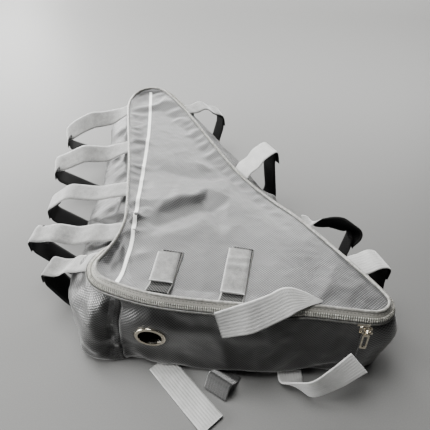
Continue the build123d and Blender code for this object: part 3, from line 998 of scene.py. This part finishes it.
def wall_panels():
    """Quads of the left, base and long gussets. The zip's band is left open for the tapes."""
    groups = {"left": [], "base": [], "long": []}
    band = len(wall_rows()[0]) - 1
    for k, (upper, lower) in enumerate(zip(ROWS, ROWS[1:])):
        for i, quad in enumerate(ring_quads(upper, lower)):
            if k < band - 1 and NO_ZIP[i] < 0.5:
                continue
            middle = POINTS[list(quad)].mean(0)
            if middle[1] < BASE_FACE and np.linalg.norm((middle - GROMMET)[[0, 2]]) < EYELET_HOLE:
                continue
            if OUT[i, 1] < -0.3 and BASE_SEAMS[0] < RING[i, 0] < BASE_SEAMS[1]:
                groups["base"].append(quad)
            elif (RING[i] - HINGE) @ HINGE_DIR > -30 and OUT[i, 0] > -0.2:
                groups["long"].append(quad)
            else:
                groups["left"].append(quad)
    return groups


GROUPS = wall_panels()
FACE_TREE = panel("front_panel_cloth", CAP, FACE_CLOTH, "panel_fabric", "hinge", ["front_panel"])
# The gussets use the darker copy of the face fabric: painted shade.
panel("gusset_left_cloth", GROUPS["left"], SIDE_CLOTH_PAINTED_SHADE, "side_fabric", "bag", ["gusset_left"])
panel("gusset_base_cloth", GROUPS["base"], SIDE_CLOTH_PAINTED_SHADE, "side_fabric", "bag",
      ["gusset_base", "gusset_base_eyelet_panel"])
panel("gusset_long_cloth", GROUPS["long"], SIDE_CLOTH_PAINTED_SHADE, "side_fabric", "bag", ["gusset_long"])


def back_panel():
    """The panel that the bag lies on."""
    ring = POINTS[ROWS[-1]]
    middle = np.array([[(ring[:, 0].min() + ring[:, 0].max()) / 2, 0, FLOOR_GAP]])
    inner = [ring]
    for share in (0.75, 0.5, 0.25):
        inner.append(middle + (ring - middle) * share)
    points = np.concatenate(inner + [middle])
    count = len(ring)
    faces = grid_faces(4, count, closed=True)
    faces += [(3 * count + i, 3 * count + (i + 1) % count, 4 * count) for i in range(count)]
    obj = mesh_object("back_panel_cloth", points, faces, points[:, :2], [SIDE_CLOTH_PAINTED_SHADE, LINING])
    thicken(obj, FABRIC, 1.0)
    settle(obj, "bag", "side_fabric", "back_panel")


back_panel()


# ---------------------------------------------------------------- piping and zip


def tube(name, line, radius, material, closed=False, sides=8):
    """Round cord along a line."""
    ahead = unit(np.roll(line, -1, 0) - np.roll(line, 1, 0)) if closed else unit(np.gradient(line, axis=0))
    across = unit(np.cross(ahead, [0, 0, 1.0]))
    up = np.cross(across, ahead)
    turns = np.arange(sides) * 2 * pi / sides
    rings = [line + radius * (cos(t) * across + sin(t) * up) for t in turns]
    points = np.stack(rings, axis=1).reshape(-1, 3)
    faces = grid_faces(len(line) + closed, sides, closed=True)
    faces = [[corner % len(points) for corner in face] for face in faces]
    return mesh_object(name, points, faces, materials=[material])


def piping():
    """The cord sewn into the front panel's seam."""
    line = RING.copy()
    line[:, :2] -= OUT * 0.4
    line[:, 2] += 0.6
    obj = tube("front_piping_cord", line, PIPING_RADIUS, VINYL, closed=True, sides=10)
    subdivide(obj)
    settle(obj, "hinge", "piping", "front_piping")


piping()


def zip_span():
    """Ring samples that the zip passes, from its end near C round B and the apex to the hinge."""
    count = len(RING)
    open_side = NO_ZIP < 0.5
    start = next(i for i in range(count) if open_side[i] and not open_side[i - 1])
    return [(start + k) % count for k in range(int(open_side.sum()))]


SPAN = zip_span()


# Each side of the zip: its body, its tape's rows as (distance down the wall, lift off it), the distances down
# to its coil and its stitches, and which of the coils' turns are its own
ZIP = {
    "upper": dict(body="hinge", rows=[(0.4, 0.3), (2.5, 0.5), (5.0, 0.5), (7.4, 0.5)],
                  coil=6.6, stitches=2.2, turns=0),
    "lower": dict(body="bag", rows=[(8.2, 0.5), (10.2, 0.2), (11.6, -1.6), (16.0, -1.8)],
                  coil=9.0, stitches=14.6, turns=1),
}
# Half the pitch of the coil's turns, and how far they stand off the wall
TURN_STEP = 1.1
TURN_LIFT = 1.3
# One turn, as (across, along, up) corners of a block with pointed ends, and its faces
TURN = [(x, y, z) for z in (0.85, -0.7) for x in (-1.1, 1.1) for y in (0.54, -0.54)]
TURN += [(-1.8, 0, 0), (1.8, 0, 0)]
TURN_FACES = [(8, 0, 1), (0, 2, 3, 1), (2, 9, 3), (8, 4, 0), (8, 1, 5), (8, 5, 4), (9, 2, 6), (9, 7, 3),
              (9, 6, 7), (0, 4, 6, 2), (1, 3, 7, 5), (4, 5, 7, 6)]


def zip_line(distance, lift):
    """Points along the zip, a distance down the wall and lifted off it."""
    return np.array([wall_point(i, distance, lift) for i in SPAN])


def tape(side, spec):
    """One side of the zip tape."""
    places = spec["rows"]
    rows = [zip_line(down, lift) for down, lift in places]
    along = np.arange(len(SPAN)) * GRID
    uv = [np.stack([np.full(len(SPAN), -down), along], axis=1) for down, _ in places]
    faces = [f[::-1] for f in grid_faces(len(places), len(SPAN))]
    obj = mesh_object(f"zip_tape_{side}_cloth", np.concatenate(rows), faces, np.concatenate(uv), [TAPE])
    subdivide(obj)
    thicken(obj, 0.8)
    settle(obj, spec["body"], "zip_tape", f"zip_tape_{side}")


def repeated(name, places, shape, faces, material):
    """The same small solid at every place, each a middle and the three directions of its corners."""
    points = [middle + a * x + b * y + c * z for middle, a, b, c in zip(*places) for x, y, z in shape]
    starts = range(0, len(points), len(shape))
    every = [[start + corner for corner in face] for start in starts for face in faces]
    return mesh_object(name, np.array(points), every, materials=[material])


def coil(side, spec):
    """One coil's turns: small rounded links across the zip, an even pitch apart."""
    outer, inner = [zip_line(spec["coil"] - back, TURN_LIFT) for back in (0.0, 1.0)]
    both = resample(np.concatenate([outer, inner], axis=1), TURN_STEP)[spec["turns"]::2]
    middle = both[:, :3]
    across = unit(middle - both[:, 3:])
    along = unit(np.gradient(middle, axis=0))
    places = (middle, across, along, np.cross(along, across))
    obj = repeated(f"zip_coil_{side}_turns", places, TURN, TURN_FACES, COIL)
    settle(obj, spec["body"], "zip_coil", f"zip_coil_{side}")


def binding():
    """The turned edge of the walls below the zip."""
    obj = tube("wall_top_binding", zip_line(13.0, 0.7), BINDING_RADIUS, BINDING)
    subdivide(obj)
    settle(obj, "bag", "side_fabric")


# One thread stitch, as (along, across, up) corners, and its faces
STITCH_LENGTH = 2.6
STITCH_GAP = 1.0
STITCH = [(-1.3, 0, -0.1), (0, 0.32, 0.1), (0, -0.32, 0.1), (1.3, 0, -0.1), (0, 0, 0.42)]
STITCH_FACES = [(0, 4, 1), (0, 2, 4), (3, 1, 4), (3, 4, 2), (0, 1, 3, 2)]


def stitching(side, spec):
    """A row of stitches along one side of the zip."""
    line, above = [zip_line(spec["stitches"], lift) for lift in (0.6, 1.6)]
    both = resample(np.concatenate([line, above - line], axis=1), STITCH_LENGTH + STITCH_GAP)
    along = unit(np.diff(both[:, :3], axis=0))
    up = unit(both[:-1, 3:])
    places = ((both[:-1, :3] + both[1:, :3]) / 2, along, np.cross(along, up), up)
    obj = repeated(f"zip_stitching_{side}", places, STITCH, STITCH_FACES, THREAD)
    settle(obj, spec["body"], "side_fabric")


def zip_fastener():
    """The zip with the walls' edge behind it: tapes, coils and stitching on both sides."""
    binding()
    for make in (tape, coil, stitching):
        for side, spec in ZIP.items():
            make(side, spec)


zip_fastener()


# ---------------------------------------------------------------- metal


def dress_node(node, material, bevel=0.35):
    """A CAD node whose shape is right: better finish and softened edges."""
    obj = frame["nodes"][node]
    for slot in obj.material_slots:
        slot.material = material
    edge = obj.modifiers.new("soft_edges", "BEVEL")
    edge.width = bevel * MM
    edge.segments = 2
    edge.limit_method = "ANGLE"


for metal_node in ("zip_slider", "zip_slider_back_plate", "zip_pull", "grommet_flange", "grommet_washer"):
    dress_node(metal_node, METAL)


# ---------------------------------------------------------------- webbing


def webbing(name, rows, width=LOOP_WIDTH, ribs=0, faces_of=(PILE, HOOKS), thickness=WEBBING):
    """Flat webbing along rows, each a place, a side direction and an up direction, three numbers each.
    The first material is on the up side."""
    count = max(10, ribs * 4)
    across = np.linspace(-1, 1, count + 1)
    crown = thickness / 2 * np.sqrt(np.clip(1 - np.abs(across) ** 10, 0, 1))
    ridge = 0.28 * (1 - np.cos(pi * ribs * (across + 1))) / 2 if ribs else 0.0
    top = crown + ridge * (np.abs(across) < 0.99)
    bottom = -crown - (ridge * (np.abs(across) < 0.99) if ribs else 0.0)
    section_x = np.concatenate([across, across[-2:0:-1]])
    section_z = np.concatenate([top, bottom[-2:0:-1]])
    around = len(section_x)
    points, uv = [], []
    along = lengths(rows[:, :3])
    full = float(np.max(width))
    for row, v, wide in zip(rows, along, np.broadcast_to(width, len(rows))):
        middle, side, up = row[:3], row[3:6], row[6:9]
        points.append(middle + np.outer(section_x * wide / 2, side) + np.outer(section_z, up))
        uv.append(np.stack([section_x * full / 2, np.full(around, v)], axis=1))
    faces = grid_faces(len(rows), around, closed=True)
    picks = [0 if (k % around) < count else 1 for k in range(len(faces))]
    for k in range(count):
        ends = [k, k + 1, (around - k - 1) % around, (around - k) % around]
        near = [corner for place, corner in enumerate(ends) if corner not in ends[:place]]
        far = [(len(rows) - 1) * around + corner for corner in near]
        faces += [near, far[::-1]]
        picks += [0, 0]
    return mesh_object(name, np.concatenate(points), faces, np.concatenate(uv), list(faces_of), picks)


def strap(name, rows, body, slot, node, held="folded", flat_width=LOOP_WIDTH, **shape):
    """A strap that moves with one body."""
    obj = webbing(name, rows, **shape)
    settle(obj, body, slot, node)


def framed(line, side):
    """Rows for webbing from a line and its side directions: the up direction is square to both."""
    line = np.asarray(line, float)
    ahead = unit(np.gradient(line, axis=0))
    side = unit(side - (side * ahead).sum(1, keepdims=True) * ahead)
    up = np.cross(side, ahead)
    return np.concatenate([line, side, up], axis=1)


def heading(azimuth):
    """The level direction at an azimuth in degrees."""
    return np.array([cos(radians(azimuth)), sin(radians(azimuth)), 0.0])


def loop_frame(spec):
    """Origin on the seam and outward direction of a loop."""
    if "at" in spec:
        origin = np.array([*spec["at"], 0.0])
        azimuth = spec["azimuth"]
    else:
        origin = np.array([HINGE[0], HINGE[1], 0.0]) + HINGE_DIR * spec["along"]
        azimuth = LONG_AZIMUTH + spec["turn"]
    return origin, heading(azimuth)


def seam_at(spec):
    """Where the seam crosses a loop's middle: the distance out and the height."""
    origin, out = loop_frame(spec)
    rel = RING[:, :2] - origin[:2]
    reach = rel @ out[:2]
    across = np.abs(rel[:, 0] * out[1] - rel[:, 1] * out[0]) + np.where(np.abs(reach) > 45, 1000, 0)
    k = across.argmin()
    return reach[k], RING[k, 2]


def loop_paths(spec):
    """Both straps in the loop's plane: out of the seam, up and over, and back underneath."""
    (sx, sz), (kx, kz), (tx, tz) = spec["start"], spec["knee"], spec["tip"]
    rx, rz = seam_at(spec)
    root = [(rx + 0.5, rz - 4.5), (rx * 0.4 + sx * 0.6, max(sz, 92.0) + 1.5), (sx + 6, sz + (kz - sz) * 0.2)]
    upper = root + [(kx, kz), (tx, tz), (tx + spec.get("lean", 0.5), tz - spec["drop"])]
    step = WEBBING + 0.4
    slope = unit(np.array([tx - kx, tz - kz], float))
    under = np.array([slope[1], -slope[0]]) * step
    inner_x = tx - step
    inner_z = kz + under[1] + slope[1] * (inner_x - kx - under[0]) / slope[0]
    reach = min(spec.get("overlap", OVERLAP), 0.6 * np.hypot(tx - kx, tz - kz))
    back = (inner_x - slope[0] * reach, inner_z - slope[1] * reach)
    foot = spec["foot"]
    lower = [(foot, FOOT_HEIGHT), (foot + FOOT_LENGTH, FOOT_HEIGHT), spec["low"]]
    lower += [(inner_x, inner_z - 18.0), (inner_x, inner_z), back]
    return upper, lower


def strap_rows(origin, out, path, radii, passes=3, wave=(0, 40, 0), twist=(0, 0, 0)):
    """Rows of a strap on a path in the upright plane through origin, waved and twisted between its ends."""
    flat = smooth(rounded(path, radii), passes)
    share = np.linspace(0, 1, len(flat))
    size, length, phase = wave
    hold = ease(share, 0.0, 0.25) * (1 - ease(share, 0.75, 1.0))
    wobble = size * 0.5 * np.sin(2 * pi * lengths(flat) / length + phase) * hold
    line = origin + out * flat[:, :1] + np.array([0, 0, 1.0]) * (flat[:, 1:] + wobble[:, None])
    level = np.cross([0, 0, 1.0], out)
    turn = np.radians(np.interp(share, (0, 0.5, 1), twist)) * hold
    ahead = unit(np.gradient(line, axis=0))
    up = np.cross(level, ahead)
    side = level * np.cos(turn)[:, None] + up * np.sin(turn)[:, None]
    return framed(line, side)


def loops():
    """The straps that hold the bag to a frame: an upper and a lower one at each place."""
    for name, spec in LOOPS.items():
        upper, lower = loop_paths(spec)
        origin, out = loop_frame(spec)
        rows = strap_rows(origin, out, upper, UPPER_RADII, LOOP_PASSES, spec["wave"], spec["twist"])
        ribbed = name in RIBBED_LOOPS
        # The upper strap's underside takes the near-black copy of the hook webbing: painted shade.
        kinds = (RIBBED_WITH_PAINTED_LIGHT if ribbed else PILE, LOOP_INSIDE_PAINTED_SHADE)
        if rows[len(rows) // 3, 8] < 0:
            kinds = kinds[::-1]
        obj = webbing(f"{name}_upper_webbing", rows, ribs=RIBS if ribbed else 0, faces_of=kinds)
        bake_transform(obj)
        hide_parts(f"{name}_upper_strap")
        rows = strap_rows(origin, out, lower, LOWER_RADII, LOOP_PASSES)
        # Both faces of the lower strap are the near-black copy: painted shade inside the loop.
        strap(f"{name}_lower_webbing", rows, "bag", "hook_webbing", f"{name}_lower_strap",
              faces_of=(LOOP_INSIDE_PAINTED_SHADE, LOOP_INSIDE_PAINTED_SHADE))


loops()


def edged(pairs, step=1.6):
    """Webbing rows from pairs of points on its two edges, and its width at each row."""
    line = spline([(*a, *b) for a, b in pairs], step=step)
    first, second = line[:, :3], line[:, 3:]
    rows = framed((first + second) / 2, unit(second - first))
    return rows, np.linalg.norm(second - first, axis=1)


def base_strap(kind, rows, held="folded", width=LOOP_WIDTH, cloth=RIBBED_WITH_PAINTED_LIGHT):
    """A loose ribbed strap, fixed to its own body."""
    strap(f"base_strap_{kind}_webbing", rows, f"{kind}_strap", "ribbed_webbing", f"base_strap_{kind}", held,
          width=width, ribs=RIBS, faces_of=(cloth, cloth))


# The straps that turn over, as pairs of points on their two edges
FOLDED_EDGES = [
    ((12, -125, 109), (18, -136, 81)), ((29, -119, 112), (33, -135, 86)), ((45, -114, 116), (48, -133, 91)),
    ((66, -103, 117), (69.5, -124, 99)), ((80, -95, 118), (82, -118, 104)), ((95, -96, 114), (97, -110, 106)),
    ((106, -99, 111), (106, -105.5, 107.5)), ((113, -100.5, 109), (113, -102.5, 108)),
]
TWISTED_EDGES = [
    ((80, -124, 5), (107, -124, 4)), ((83, -136, 7), (109, -138, 4)), ((95, -145, 23), (115, -150, 5)),
    ((113, -149, 38), (124, -152, 12)), ((130, -140, 51), (144, -148, 28)),
    ((149, -127, 65), (164, -140, 45)),
]


def base_straps():
    """The loose straps at the base."""
    rows, widths = edged(FOLDED_EDGES)
    base_strap("folded", rows, width=widths)
    rows, _ = edged(TWISTED_EDGES)
    base_strap("twisted", rows, width=BASE_WIDTH)
    rows = strap_rows((-52, -126, 0), heading(-43), [(2, 2.2), (30, 1.6), (60, 1.9), (93, 4.2)], [60, 60])
    base_strap("floor", rows, "laid")
    rows = strap_rows((30, -127.5, 0), heading(-117), [(3, 2.0), (11, 3.0), (24, 22), (33, 2.6)], [6, 2.6])
    # The stub takes the near-black copy of the ribbed webbing: painted shade.
    base_strap("stub", rows, cloth=RIBBED_PAINTED_SHADE)


base_straps()


# ---------------------------------------------------------------- on the face


def on_face(xy, lift):
    """Points on the front panel under (x, y), lifted off it."""
    out = []
    for x, y in xy:
        hit = FACE_TREE.ray_cast(Vector((x, y, 300)), Vector((0, 0, -1)))
        out.append((x, y, (hit[0].z if hit[0] else TOP) + lift))
    return np.array(out)


# The reflective strip: its middle line, and its section across
STRIP = [(-136, 282), (-123, 210), (-115, 159), (-108, 101), (-103, 61), (-96, 7), (-91, -40), (-90, -72),
         (-91, -99)]
STRIP_SECTION = (-2.0, -0.7, 0.7, 2.0)
STRIP_STEP = 2.0


def reflective_strip():
    """The pale tape down the left of the front panel."""
    line = spline([(x, y, 0) for x, y in STRIP], step=STRIP_STEP)
    ahead = unit(np.gradient(line, axis=0))
    side = np.stack([ahead[:, 1], -ahead[:, 0]], axis=1)
    rows = [smooth(on_face(line[:, :2] + side * w, 0.5), 2) for w in STRIP_SECTION]
    along = np.arange(len(line)) * STRIP_STEP
    uv = [np.stack([np.full(len(line), w), along], axis=1) for w in STRIP_SECTION]
    faces = grid_faces(len(rows), len(line))
    obj = mesh_object("reflective_strip_tape", np.concatenate(rows), faces, np.concatenate(uv), [SILVER])
    subdivide(obj)
    thicken(obj, 0.5, 1.0)
    settle(obj, "lid", "reflective", "reflective_strip")


reflective_strip()

# Short straps on the face: middle at the top, middle at the bottom, the hook strip's lower end
FACE_STRAPS = {
    "left": dict(top=(-46, -49), bottom=(-47.5, -91), end=(-48.5, -106), folds=(), slant=0.16),
    "right": dict(top=(30.5, -35), bottom=(26, -97), end=(25, -110), folds=(-51, -62), slant=0.0),
}


def face_strap_rows(start, end, lift, folds=(), slant=0.0):
    """Rows of a strap laid on the face, with small folds across it."""
    line = spline([(*start, 0), ((start[0] + end[0]) / 2, (start[1] + end[1]) / 2, 0), (*end, 0)], step=1.4)
    heights = on_face(line[:, :2], lift)
    for place in folds:
        heights[:, 2] += 1.5 * np.exp(-((heights[:, 1] - place) / 2.2) ** 2)
    heights = smooth(heights, 4)
    side = np.tile([-1.0, 0.0, 0.0], (len(line), 1))
    side[:, 1] += slant * np.linspace(0, 1, len(line)) ** 4
    return framed(heights, side)


def face_straps():
    """A hook strip with a pile strap on it, twice."""
    for side, spec in FACE_STRAPS.items():
        hook_top = (spec["top"][0] + 3.0, spec["top"][1] + 3.0)
        rows = face_strap_rows(hook_top, spec["end"], 1.0)
        strap(f"face_hook_strip_{side}_webbing", rows, "lid", "hook_webbing", f"face_hook_strip_{side}",
              "laid", FACE_WIDTH, width=FACE_WIDTH, faces_of=(HOOKS, HOOKS), thickness=1.2)
        rows = face_strap_rows(spec["top"], spec["bottom"], 3.2, spec["folds"], spec["slant"])
        rows[:, 2] += 1.2 * np.linspace(0, 1, len(rows)) ** 6
        strap(f"face_pile_strap_{side}_webbing", rows, f"face_strap_{side}", "pile_webbing",
              f"face_pile_strap_{side}", "laid", FACE_WIDTH, width=FACE_WIDTH, faces_of=(PILE, HOOKS))


face_straps()
